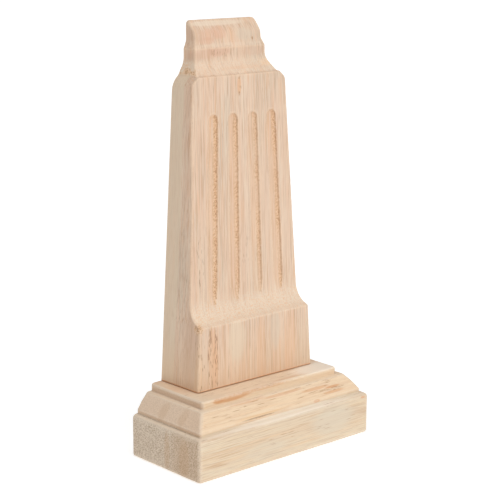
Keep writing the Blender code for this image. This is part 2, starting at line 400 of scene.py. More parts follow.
def bodyProfiles(shoulderRound):
    # the half width and the depth at each height over the body's foot
    b = body
    shoulder = b["width"] / 2 - b["sideLean"]
    flare = shoulder - b["shoulderRun"]
    band = flare - b["flareRun"]
    nose = band - b["ogeeRun"]
    bandFoot = shoulderHeight + b["flareRise"]
    bandTop = bandFoot + b["bandRise"]
    noseFoot = bandTop + b["ogeeRise"]
    noseTurn = noseFoot + b["noseRise"]
    top = noseTurn + b["topRise"]
    sides = [
        (0.0, b["width"] / 2, 0.0),
        (shoulderHeight - b["shoulderDrop"], shoulder, shoulderRound),
        (shoulderHeight, flare, 0.0),
        (bandFoot, band, b["flareRound"]),
        (bandTop, band, b["bandRound"]),
        (noseFoot, nose, b["ogeeRound"]),
        (top, nose, b["topRound"]),
        (top, nose - b["topRound"], 0.0),
    ]
    apron = b["depth"] - b["apronLean"]
    front = [
        (0.0, b["depth"], 0.0),
        (b["apron"], apron, b["apronRound"]),
        (b["apron"] + b["coveRise"], apron - b["coveRun"], b["coveRadius"]),
        (shoulderHeight - 0.1 * mm, shoulderDepth, b["faceTopRound"]),
        (shoulderHeight, shoulderDepth * b["flareDepth"], 0.0),
        (bandFoot, shoulderDepth * b["bandDepth"], b["flareRound"]),
        (bandTop, shoulderDepth * b["bandDepth"], b["bandRound"]),
        (noseFoot, shoulderDepth * b["noseDepth"], b["ogeeRound"]),
        (noseTurn, shoulderDepth * b["noseDepth"], b["noseRound"]),
        (top, shoulderDepth * b["topDepth"], 0.0),
    ]
    return roundProfile(sides), roundProfile(front)


bodySides, bodyFront = bodyProfiles(body["shoulderRound"])
sharpSides, _ = bodyProfiles(body["shoulderSharp"])


@lru_cache(None)
def halfAt(height):
    return readProfile(sharpSides, height)


@lru_cache(None)
def fluteCentre(number, height):
    low, high = body["apron"] + flute["footMargin"], shoulderHeight - flute["topMargin"]
    share = min(1.0, max(0.0, (height - low) / (high - low)))
    shift = flute["footShift"][number] + (flute["topShift"][number] - flute["footShift"][number]) * share
    return halfAt(height) * (2 * (number + 1) / (flute["count"] + 1) - 1) + shift


def fluteStops(height):
    # both edges of each flute, from the left; they wander a little as the cutter did
    stops = []
    for number in range(flute["count"]):
        for side in (-1, 1):
            wander = ripple((number * 7.3, side * 3.1, height), (1, 1, flute["wanderLength"]))
            wander *= flute["edgeWander"]
            stops.append(fluteCentre(number, height) + side * flute["half"] + (wander if height > 0 else 0.0))
    return stops


def fluteShare(number, across, height):
    # a point's distance from the flute's middle line, 1 at the rim, and how deep the cut runs, 0 to 1
    foot = body["apron"] + flute["footMargin"] + flute["feet"][number]
    run = min(1.0, max(0.0, (height - foot) / flute["lift"]))
    if run == 0.0:
        return 1.0, run
    end = shoulderHeight - flute["topMargin"] + flute["tops"][number] - flute["half"]
    over = max(0.0, height - end)
    half = flute["half"] * run ** flute["narrowing"] if over == 0 else flute["half"]
    return hypot(across, over) / half, run


def bodySection(height):
    # slides a point of the foot's outline to the section at this height
    rear, fore, depth = readProfile(bodySides, height), halfAt(height), readProfile(bodyFront, height)
    footHalf = body["width"] / 2
    flat = footHalf - body["arris"]
    frontLine = body["back"] - body["depth"] + touching
    inner = body["depth"] - body["arris"] - body["backRound"]
    stops = fluteStops(height)
    gather = flute["gather"]
    anchors = list(zip([-flat] + footStops + [flat], [body["arris"] - fore] + stops + [fore - body["arris"]]))
    draft = body["leftDraft"] * (1 - smooth(*body["draftHead"], height))
    draft *= body["apronDraft"] + (1 - body["apronDraft"]) * smooth(*body["draftFoot"], height)

    def slide(home):
        share = min(1.0, max(0.0, (body["back"] - body["backRound"] - home.y) / inner))
        if home.y < frontLine and abs(home.x) < flat:
            x = readProfile(anchors, home.x)
            for number in range(flute["count"]):
                left, right = stops[2 * number], stops[2 * number + 1]
                if left < x < right:
                    off = 2 * (x - left) / (right - left) - 1
                    x = (left + right) / 2 + (right - left) / 2 * sin(gather * off) / sin(gather)
                    break
        else:
            half = rear + (fore - rear) * share
            x = home.x - copysign((footHalf - half) * min(1.0, abs(home.x) / flat), home.x)
        x += draft * share * smooth(0.0, 1.0, -home.x / footHalf)
        y = home.y + (body["depth"] - depth) * share
        return Vector((x, y, body["foot"] + height))

    return slide


footStops = fluteStops(0.0)


def markEdges(bm):
    # how much each point belongs to a rounded outer edge
    edge = addMarks(bm, "edge")[0]
    bm.normal_update()
    for vert in bm.verts:
        bend = 0.0
        for link in vert.link_edges:
            other = link.other_vert(vert)
            step = other.co - vert.co
            turn = (other.normal - vert.normal).dot(step) / max(step.length_squared, 1e-12)
            bend = max(bend, turn, key=abs)
        vert[edge] = smooth(*edgeBend, bend)


def carveFlutes(bm):
    wall, floor, rimLine = addMarks(bm, "wall", "fluteFloor", "fluteRim")
    f = flute
    for vert in bm.verts:
        height = vert.co.z - body["foot"]
        if vert.normal.y > -0.6 or not body["apron"] < height < shoulderHeight:
            continue
        for number in range(f["count"]):
            across = vert.co.x - fluteCentre(number, height)
            if abs(across) > f["half"] * 1.1:
                continue
            rim, run = fluteShare(number, across, height)
            if rim >= 1.0 or run == 0.0:
                continue
            aside = across / f["half"]
            deep = f["sink"] * run * sqrt(1 - rim ** 3)
            torn = ripple((number * 4.7, 2.2, height), (1, 1, f["tearLength"])) + f["torn"][number]
            torn = smooth(-0.45, 0.35, torn)
            right = smooth(0.0, 0.6, rim) * smooth(-f["spread"][number], 0.5, aside)
            slant = vert.co.z - f["tearSlant"] * across
            rough = 0.0
            for width, length, seed, strength in f["tufts"]:
                rough += strength * ripple((across, number * seed, slant), (width, 1, length))
            rough *= f["chatter"] * (f["calm"] + right * torn) * smooth(0.0, 0.25, run)
            vert.co.y += max(0.0, deep + rough)
            vert.co.x += 0.6 * rough * right
            vert[wall] = right * (0.3 + 0.7 * torn) * smooth(0.0, 0.15, run) * f["tint"][number]
            # the rim's line: partly the torn rim, partly painted shade on the steep wall
            vert[rimLine] = smooth(0.80, 0.95, rim) * smooth(0.1, 0.6, aside) * smooth(0.0, 0.2, run)
            vert[floor] = smooth(0.0, 0.3, run) * (1 - smooth(0.8, 1.0, rim))
            break


def bodyRelief(bm):
    fuzz, crease, flank = addMarks(bm, "fuzz", "crease", "flank")
    wall, edge = (bm.verts.layers.float[name] for name in ("wall", "edge"))
    bm.normal_update()
    wear, apron, shoulder = body["wear"], body["apron"], shoulderHeight
    turnFoot, turnHead = (shoulder + rise for rise in body["turnRise"])
    coveFuzz = [apron + rise for rise in wear["coveFuzz"]]
    flareFuzz = [shoulder + rise for rise in wear["flareFuzz"]]
    flareTear = [shoulder + rise for rise in wear["flareTear"]]
    for vert in bm.verts:
        height = vert.co.z - body["foot"]
        spot, normal = vert.co.copy(), vert.normal.copy()
        front, aside = max(0.0, -normal.y), abs(normal.x)
        outer = height > 0.2 * mm and normal.y < 0.5
        vert[flank] = smooth(0.5, 0.8, aside)
        # the cove and the flare cut across the grain, which left them fuzzy
        if outer and apron < height < coveFuzz[-1] and front > 0.2:
            vert[fuzz] = window(height, *coveFuzz)
        if outer and height > shoulder:
            vert[fuzz] = max(vert[fuzz], window(height, *flareFuzz) * (0.5 + 0.5 * aside))
            if aside > 0.5:
                chips = ripple((spot.y, 3.0, spot.z + 0.5 * spot.y), wear["tearSize"])
                vert[wall] = 0.75 * window(height, *flareTear) * smooth(-0.4, 0.1, chips)
                vert.co -= normal * (wear["tearDepth"] * vert[wall])
        if outer:
            vert[crease] = 1 - smooth(*wear["creaseFade"], abs(height - shoulder))
        pits = abs(ripple(spot, wear["fuzzSize"])) * wear["fuzzDepth"] * vert[fuzz]
        vert.co -= normal * (wear["creaseDepth"] * vert[crease] + pits)
        # slow unevenness of a hand-fed machine, always inwards
        vert.co -= normal * (wear["swellDepth"] * sway(spot, wear["swellSize"]))
        # neck cut a touch askew
        turn = smooth(turnFoot, turnHead, height) * front
        vert.co.y += body["neckTurn"] * turn * spot.x / (body["width"] / 2)
        # the cove's sharp foot stays as the cutter left it
        away = abs(height - apron)
        if away < wear["coveFoot"] and aside < 0.5 and front > 0.1:
            vert[edge] *= 0.2
            vert[fuzz] = max(vert[fuzz], 0.8 - 0.8 * smooth(*wear["coveFootFade"], away))
        # worn arrises, and the chipped corner where the cove meets the apron
        if 4 * aside * front > 0.6:
            vert.co -= normal * (wear["nickDepth"] * sway(spot, wear["nickSize"]) ** 2)
        chip = (spot - Vector(wear["chipCentre"])).length
        if chip < wear["chipReach"][1]:
            bite = 1 - smooth(*wear["chipReach"], chip)
            rough = max(0.0, 0.6 + 1.6 * ripple(spot, wear["chipSize"]))
            vert.co -= normal * (wear["chipDepth"] * bite * rough)
            vert[fuzz] = max(vert[fuzz], bite)
            vert[wall] = 0.9 * bite


def makeBody(material):
    bm = bmesh.new()
    b = body
    base = outlineFace(
        bm, b["width"] / 2, b["depth"], b["back"], b["arris"], b["backRound"], footStops, b["cuts"])
    stations = sorted({round(height, 6) for height, _ in bodySides + sharpSides + bodyFront})
    kept = stations[:1]
    for height in stations[1:]:
        if height - kept[-1] > body["rowMerge"]:
            kept.append(height)
    growStack(bm, base, fillRows(kept, body["rowGap"]), bodySection)
    carveFlutes(bm)
    markEdges(bm)
    bodyRelief(bm)
    bmesh.ops.recalc_face_normals(bm, faces=bm.faces)
    finishPiece(bm, "flutedBody", material, "fluted_body")


plinth = {
    "width": 110.0 * mm, "depth": 50.4 * mm, "back": 25.2 * mm,
    "block": 20.8 * mm, "blockRound": 1.5 * mm, "blockTopRound": 1.8 * mm,
    "lowerLedge": 2.9 * mm, "lowerStep": 2.0 * mm,
    "bevelRun": 5.8 * mm, "bevelRise": 7.5 * mm, "bevelSwell": 0.3 * mm, "bevelRound": 30.0 * mm,
    "upperLedge": 2.8 * mm, "upperStep": 3.6 * mm, "ledgeFall": 0.1 * mm,
    "mouldingRound": 0.5 * mm, "topRound": 0.9 * mm,
    "topReach": 13.0 * mm,  # how far the mesh runs in over the top, under the body
    "stepFade": 1.4 * mm,  # the upper step's brown, partly torn grain and partly painted shade in the corner at its foot, fades below its rounded edge
    "rowGap": 0.6 * mm,
    "cuts": {"front": 190, "side": 86, "back": 90},
    "wear": {
        "swellDepth": 0.07 * mm, "swellSize": (32 * mm, 9 * mm, 9 * mm),
        "fineDepth": 0.03 * mm, "fineSize": (5 * mm, 1.2 * mm, 1.2 * mm),
        "nickDepth": 0.14 * mm, "nickSize": (2.5 * mm, 2.5 * mm, 2.5 * mm),
    },
}


def plinthRows():
    # (height, inset) from the underside up, then inwards over the top
    p = plinth
    inner = p["lowerLedge"] + p["bevelRun"]
    run = inner + p["upperLedge"]
    bevelFoot = p["block"] + p["lowerStep"]
    bevelTop = bevelFoot + p["bevelRise"]
    top = bevelTop + p["upperStep"]
    slant = hypot(p["bevelRise"], p["bevelRun"])
    swellHeight = bevelFoot + p["bevelRise"] / 2 + p["bevelSwell"] * p["bevelRun"] / slant
    swellInset = p["lowerLedge"] + p["bevelRun"] / 2 - p["bevelSwell"] * p["bevelRise"] / slant
    corners = [
        (0.0, p["blockRound"], 0.0),
        (0.0, 0.0, p["blockRound"]),
        (p["block"] - p["ledgeFall"], 0.0, p["blockTopRound"]),
        (p["block"], p["lowerLedge"], 0.0),
        (bevelFoot, p["lowerLedge"], p["mouldingRound"]),
        (swellHeight, swellInset, p["bevelRound"]),
        (bevelTop - p["ledgeFall"], inner, p["mouldingRound"]),
        (bevelTop, run, 0.0),
        (top, run, p["topRound"]),
        (top, run + p["topReach"], 0.0),
    ]
    points = roundProfile(corners)[1:]
    rows = points[:1]
    for point in points[1:]:
        start = rows[-1]
        rise, run = point[0] - start[0], point[1] - start[1]
        parts = rowsFor(hypot(rise, run), p["rowGap"])
        rows += [(start[0] + rise * i / parts, start[1] + run * i / parts) for i in range(1, parts + 1)]
    return rows


def plinthSection(row):
    height, inset = row
    flat = plinth["width"] / 2 - plinth["blockRound"]
    inner = plinth["depth"] - 2 * plinth["blockRound"]

    def slide(home):
        x = home.x - copysign(inset * min(1.0, abs(home.x) / flat), home.x)
        share = (plinth["back"] - plinth["blockRound"] - home.y) / inner
        return Vector((x, home.y + inset * min(1.0, max(0.0, share)), height))

    return slide


def plinthRelief(bm):
    end, litLedge, step = addMarks(bm, "endGrain", "litLedge", "step")
    bm.normal_update()
    p, wear = plinth, plinth["wear"]
    lower, upper = p["block"], p["block"] + p["lowerStep"] + p["bevelRise"]
    for vert in bm.verts:
        spot, normal = vert.co.copy(), vert.normal.copy()
        vert[end] = smooth(0.35, 0.8, abs(normal.x))
        # up-facing parts, where the wood gets its painted light
        vert[litLedge] = smooth(0.6, 0.95, normal.z)
        upright = 1 - smooth(0.15, 0.5, abs(normal.z))
        for foot, rise in ((lower, p["lowerStep"]), (upper, p["upperStep"])):
            if foot - 0.2 * mm < spot.z < foot + rise:
                fade = smooth(rise - p["stepFade"], rise, spot.z - foot) if foot == upper else 0.0
                vert[step] = upright * (1 - fade)
        if spot.z < 0.05 * mm and normal.z < -0.9:
            continue  # the underside stays flat
        swell = wear["swellDepth"] * sway(spot, wear["swellSize"])
        fine = wear["fineDepth"] * sway(spot, wear["fineSize"])
        vert.co -= normal * (swell + fine)
        edge = 4 * max(abs(normal.x * normal.y), abs(normal.y * normal.z), abs(normal.x * normal.z))
        if edge > 0.8:
            vert.co -= normal * (wear["nickDepth"] * sway(spot, wear["nickSize"]) ** 2)


def makePlinth(material):
    bm = bmesh.new()
    p, arris = plinth, plinth["blockRound"]
    base = outlineFace(bm, p["width"] / 2, p["depth"], p["back"], arris, arris, None, p["cuts"])
    growStack(bm, base, plinthRows(), plinthSection)
    markEdges(bm)
    plinthRelief(bm)
    bmesh.ops.recalc_face_normals(bm, faces=bm.faces)
    finishPiece(bm, "mouldedPlinth", material, "moulded_plinth")


def startMaterial(name):
    material = bpy.data.materials.new(name)
    material.use_nodes = True
    nodes = Nodes(material.node_tree)
    shader = material.node_tree.nodes["Principled BSDF"]
    spot = nodes.add("ShaderNodeTexCoord").outputs["Object"]
    return material, nodes, shader, spot


def tone(red, green, blue):
    # a colour given in 0..255, turned linear
    def linear(value):
        value /= 255
        return value / 12.92 if value <= 0.04045 else ((value + 0.055) / 1.055) ** 2.4
    return (linear(red), linear(green), linear(blue), 1.0)


def layGrain(nodes, along, wood):
    # two grains of different width, the wide one from another place of the pattern
    fine = nodes.useGroup(woodGrain, {"Vector": along, **wood["fine"]})
    shifted = nodes.place(along, (1, 1, 1), wood["wideShift"])
    return fine, nodes.useGroup(woodGrain, {"Vector": shifted, **wood["wide"]})


def patchMask(nodes, spot, centre, reach, fray):
    # centre and reach come in millimetres
    places = {key: [value * mm for value in sizes] for key, sizes in (("Centre", centre), ("Reach", reach))}
    return nodes.useGroup(tonePatch, {"Vector": spot, **places, **fray})[0]


def layPatches(nodes, spot, colour, wood):
    fray = {"Ragged size": wood["ragged"], "Ragged": 0.25}
    for centre, reach, name, strength in wood["patches"]:
        mask = patchMask(nodes, spot, centre, reach, fray)
        colour = nodes.tint(colour, wood[name], mask, strength)
    return colour


def layClusters(nodes, spot, along, pores, wood):
    for centre, reach, width, length, share, cracks in wood["clusters"]:
        mask = patchMask(nodes, spot, centre, reach, {})
        marks = nodes.useGroup(woodGrain, {
            "Vector": along, "Pore": width * mm, "Pore length": length * mm, "Pore share": share,
            "Line": 3 * width * mm})
        marks = nodes.math("MAXIMUM", marks["Pores"], nodes.times(marks["Lines"], cracks))
        pores = nodes.math("MAXIMUM", pores, nodes.times(mask, marks))
    return pores


def finishWood(nodes, shader, wood, colour, fibre, pores, raised):
    # roughness and bump follow the same fibres and pores as the colour
    nodes.put(shader.inputs["Base Color"], colour)
    span = wood["roughSpan"]
    rough = nodes.math("MULTIPLY_ADD", fibre, span, wood["roughness"] - span / 2)
    nodes.put(shader.inputs["Roughness"], nodes.math("MULTIPLY_ADD", pores, 0.1, rough, clamp=True))
    height = nodes.times(fibre, wood["fibreBump"])
    height = nodes.math("MULTIPLY_ADD", pores, wood["poreBump"], height)
    for texture, mask, bump in raised:
        height = nodes.math("MULTIPLY_ADD", nodes.times(texture, mask), bump, height)
    bump = nodes.add("ShaderNodeBump", {"Strength": 0.6, "Distance": 0.14 * mm, "Height": height})
    nodes.put(shader.inputs["Normal"], bump.outputs[0])
    shader.inputs["Specular IOR Level"].default_value = 0.3


bodyWood = {
    "pale": tone(224, 203, 181), "warm": tone(217, 190, 166), "rose": tone(216, 184, 161),
    "grey": tone(209, 193, 173), "pore": tone(160, 106, 66), "orange": tone(220, 172, 132),
    "layer": tone(219, 200, 175), "honey": tone(226, 190, 152), "wall": tone(150, 100, 62),
    "torn": tone(228, 184, 140), "fuzz": tone(227, 209, 188), "joint": tone(228, 164, 110),
    "wearAndHighlight": tone(228, 200, 172), "dark": tone(124, 70, 30), "blush": tone(212, 168, 142),
    "flank": tone(204, 170, 145),
    "roughness": 0.72, "roughSpan": 0.16,
    "fibreBump": 0.8, "poreBump": -1.5, "tuftBump": 1.4, "chatterBump": 2.0,
    "fine": {
        "Band": 5.0 * mm, "Fibre": 0.48 * mm, "Line": 2.2 * mm,
        "Pore": 0.30 * mm, "Pore length": 2.6 * mm, "Pore share": -0.04},
    "wide": {
        "Band": 2.0 * mm, "Fibre": 0.75 * mm, "Line": 3.4 * mm,
        "Pore": 0.30 * mm, "Pore length": 5.0 * mm, "Pore share": -0.08},
    "wideShift": (0.31, 0.12, 0.4), "ragged": (1100, 700, 70),
    # where the tones begin and end, along Y for the first two and along Z for the rest
    "layerFront": (15.7 * mm, 16.2 * mm), "flankEdge": (7.2 * mm, 7.8 * mm), "layerTop": (181 * mm, 186 * mm),
    "apronBounceWarmth": (34 * mm, 66 * mm), "jointLine": (34.3 * mm, 35.0 * mm),
    "strength": {
        "roseBands": 0.42, "greyPlaces": 0.6, "orangeFibre": 0.26, "brownFibre": 0.31, "brownLines": 0.20,
        "orangeLines": 0.30, "layerLow": 0.65, "layerHigh": 0.1, "flank": 0.48, "apronBounceWarmth": 0.35,
        "joint": 0.9, "finePores": 0.35, "pores": 0.75, "fluteFloor": 0.15, "litTornWall": 0.75,
        "brownWall": 0.62, "paleWall": 0.4, "rim": 0.40, "edge": 0.5, "crease": 0.10},
    # centre, reach, colour and strength of the tone patches, in millimetres
    "patches": (
        ((-0.6, 9.8, 175.0), (1.5, 4.0, 5.5), "orange", 0.60),
        ((12.0, 5.0, 115.0), (34.0, 9.0, 46.0), "warm", 0.30),
        ((-11.5, 18.5, 198.6), (8.0, 8.0, 3.6), "blush", 0.42),
        ((-5.5, 18.5, 199.6), (6.0, 8.0, 4.0), "blush", 0.42),
        ((-14.0, 18.0, 195.8), (6.0, 8.0, 2.0), "blush", 0.40),
        # painted shade: the band below its top edge made darker and pinker
        ((-14.0, 20.0, 190.0), (12.0, 9.0, 3.6), "blush", 0.30),
        ((-7.0, 18.0, 190.6), (9.0, 9.0, 2.6), "blush", 0.35),
        ((15.0, 18.0, 190.0), (11.0, 9.0, 2.8), "blush", 0.22),
        # painted highlight: a pale line along the band's top edge
        ((0.0, 20.0, 193.6), (27.0, 9.0, 1.2), "fuzz", 0.22),
        ((20.5, 14.0, 184.5), (4.0, 6.0, 2.2), "honey", 0.6),
        ((10.0, 18.0, 198.0), (6.0, 8.0, 4.0), "grey", 0.5),
        ((6.0, 11.0, 183.0), (22.0, 6.0, 1.3), "orange", 0.38),
        ((-6.0, 20.0, 203.6), (24.0, 8.0, 1.5), "fuzz", 0.6),
        # painted shade on the neck's left flank, at the nose and below the band's edge
        ((-20.0, 18.0, 199.0), (5.0, 10.0, 4.5), "flank", 0.4),
        ((-22.0, 14.0, 188.6), (5.0, 12.0, 3.0), "flank", 0.4),
        ((15.0, 18.0, 195.8), (0.6, 3.0, 0.9), "pore", 0.6),
        ((2.5, 16.0, 198.0), (1.6, 8.0, 8.0), "orange", 0.35),
        ((-27.0, -2.3, 50.0), (4.0, 5.0, 21.0), "orange", 0.45),
        ((22.6, -2.3, 45.0), (5.0, 5.0, 30.0), "orange", 0.25),
        ((3.8, -2.3, 44.0), (3.4, 5.0, 30.0), "orange", 0.32),
        ((-12.0, -2.3, 56.0), (7.0, 5.0, 14.0), "layer", 0.6),
        ((13.0, -2.3, 56.0), (4.0, 5.0, 12.0), "grey", 0.5),
        ((-36.0, -2.3, 40.0), (2.5, 4.0, 30.0), "honey", 0.35),
        ((-9.0, -1.9, 64.9), (6.0, 2.2, 1.6), "fuzz", 0.5),
        ((-21.0, -0.8, 65.7), (13.0, 2.0, 0.32), "pore", 0.30),
        ((-31.0, 2.0, 67.0), (3.0, 5.0, 2.5), "honey", 0.5),
    ),
    # clusters of open pores: centre, reach, dash width and length, share of the cells, strength of cracks
    "clusters": (
        ((-28.7, -2.3, 50.0), (2.2, 5.0, 22.0), 0.30, 2.2, 1.0, 0.9),
        ((-25.1, -2.3, 47.0), (1.7, 5.0, 22.0), 0.30, 2.6, 1.0, 0.9),
        ((-34.3, -2.3, 48.0), (3.0, 5.0, 20.0), 0.26, 2.0, 0.25, 0.2),
        ((-0.4, 9.8, 175.0), (1.7, 4.0, 5.8), 0.30, 1.4, 0.8, 0.7),
        ((-4.0, 16.0, 190.8), (13.0, 9.0, 3.2), 0.20, 1.6, 0.3, 0.45),
        ((-27.5, 4.0, 95.0), (5.5, 5.0, 30.0), 0.24, 2.2, 0.5, 0.25),
        ((1.0, 4.0, 98.0), (5.0, 5.0, 22.0), 0.22, 2.4, 0.45, 0.2),
    ),
}


def makeBodyWood():
    w, strength = bodyWood, bodyWood["strength"]
    material, nodes, shader, spot = startMaterial("bodyWood")
    places = nodes.add("ShaderNodeSeparateXYZ", {0: spot}).outputs
    flank = nodes.attribute("flank")
    # the figure on the front hardly changes with depth; the flanks show their own
    deep = nodes.times(places[1], nodes.math("MULTIPLY_ADD", flank, 0.85, 0.15))
    sawn = nodes.add("ShaderNodeCombineXYZ", {0: places[0], 1: deep, 2: places[2]}).outputs[0]
    fine, wide = layGrain(nodes, sawn, w)
    colour = nodes.mix(fine["Bands"], w["pale"], w["warm"])
    colour = nodes.tint(colour, w["rose"], wide["Bands"], strength["roseBands"])
    colour = nodes.tint(colour, w["grey"], nodes.ramp(fine["Slow"], 0.45, 0.65), strength["greyPlaces"])
    orange = nodes.ramp(wide["Fibre"], 0.48, 0.60, 0.0, strength["orangeFibre"])
    brown = nodes.ramp(fine["Fibre"], 0.49, 0.60, 0.0, strength["brownFibre"])
    colour = nodes.mix(brown, nodes.mix(orange, colour, w["orange"]), w["pore"])
    colour = nodes.tint(colour, w["pore"], fine["Lines"], strength["brownLines"])
    colour = nodes.tint(colour, w["orange"], wide["Lines"], strength["orangeLines"])
    # the back part of the depth is a paler, yellower layer, up to the shoulder
    below = nodes.ramp(places[2], *w["layerTop"], strength["layerLow"], strength["layerHigh"])
    colour = nodes.tint(colour, w["layer"], nodes.ramp(places[1], *w["layerFront"]), below)
    strip = nodes.ramp(places[1], *w["flankEdge"], strength["flank"], 0.0)
    colour = nodes.tint(colour, w["flank"], flank, strip)
    # the apron is a little warmer towards its foot, as painted warm light reflected from the plinth top, and
    # brown right at the joint
    bounceWarmth = nodes.ramp(places[2], *w["apronBounceWarmth"], strength["apronBounceWarmth"], 0.0)
    colour = layPatches(nodes, spot, nodes.mix(bounceWarmth, colour, w["honey"]), w)
    colour = nodes.mix(nodes.ramp(places[2], *w["jointLine"], strength["joint"], 0.0), colour, w["joint"])
    pores = nodes.times(nodes.math("MAXIMUM", fine["Pores"], wide["Pores"]), strength["finePores"])
    pores = layClusters(nodes, spot, spot, pores, w)
    colour = nodes.tint(colour, w["dark"], pores, strength["pores"])
    # the fuzzy cuts across the grain
    fuzz = nodes.attribute("fuzz")
    tufts = nodes.noise(nodes.place(spot, (1500, 1500, 1100)), 2.0, 0.7)
    colour = nodes.tint(colour, w["fuzz"], fuzz, nodes.ramp(tufts, 0.35, 0.65, 0.35, 0.85))
    colour = nodes.tint(colour, w["torn"], fuzz, nodes.ramp(tufts, 0.36, 0.48, 0.65, 0.0))
    # flute floors; their torn walls with slanted tufts, a lighter orange as painted light against the walls'
    # shade; and the rim's dark line, partly the torn rim and partly painted shade
    wall = nodes.attribute("wall")
    slanted = nodes.add("ShaderNodeMapping", {"Vector": spot, "Rotation": (0, radians(-35), 0)}).outputs[0]
    chatter = nodes.noise(nodes.place(slanted, (2100, 1000, 1000)), 2.0, 0.6)
    colour = nodes.tint(colour, w["torn"], nodes.attribute("fluteFloor"), strength["fluteFloor"])
    colour = nodes.tint(colour, w["torn"], wall, strength["litTornWall"])
    colour = nodes.tint(colour, w["wall"], wall, nodes.ramp(chatter, 0.48, 0.58, 0.0, strength["brownWall"]))
    colour = nodes.tint(colour, w["fuzz"], wall, nodes.ramp(chatter, 0.36, 0.44, strength["paleWall"], 0.0))
    colour = nodes.tint(colour, w["wall"], nodes.attribute("fluteRim"), strength["rim"])
    # paler rounded edges, partly wear and partly painted highlight, and painted shade in the shoulder's
    # crease
    paleEdge = nodes.useGroup(edgeWearAndHighlight, {
        "Vector": spot, "Edge": nodes.attribute("edge"), "Amount": strength["edge"]})[0]
    colour = nodes.mix(paleEdge, colour, w["wearAndHighlight"])
    creaseShade = nodes.ramp(tufts, 0.4, 0.6, 0.0, strength["crease"])
    colour = nodes.tint(colour, w["pore"], nodes.attribute("crease"), creaseShade)
    raised = ((tufts, fuzz, w["tuftBump"]), (chatter, wall, w["chatterBump"]))
    finishWood(nodes, shader, w, colour, fine["Fibre"], pores, raised)
    return material


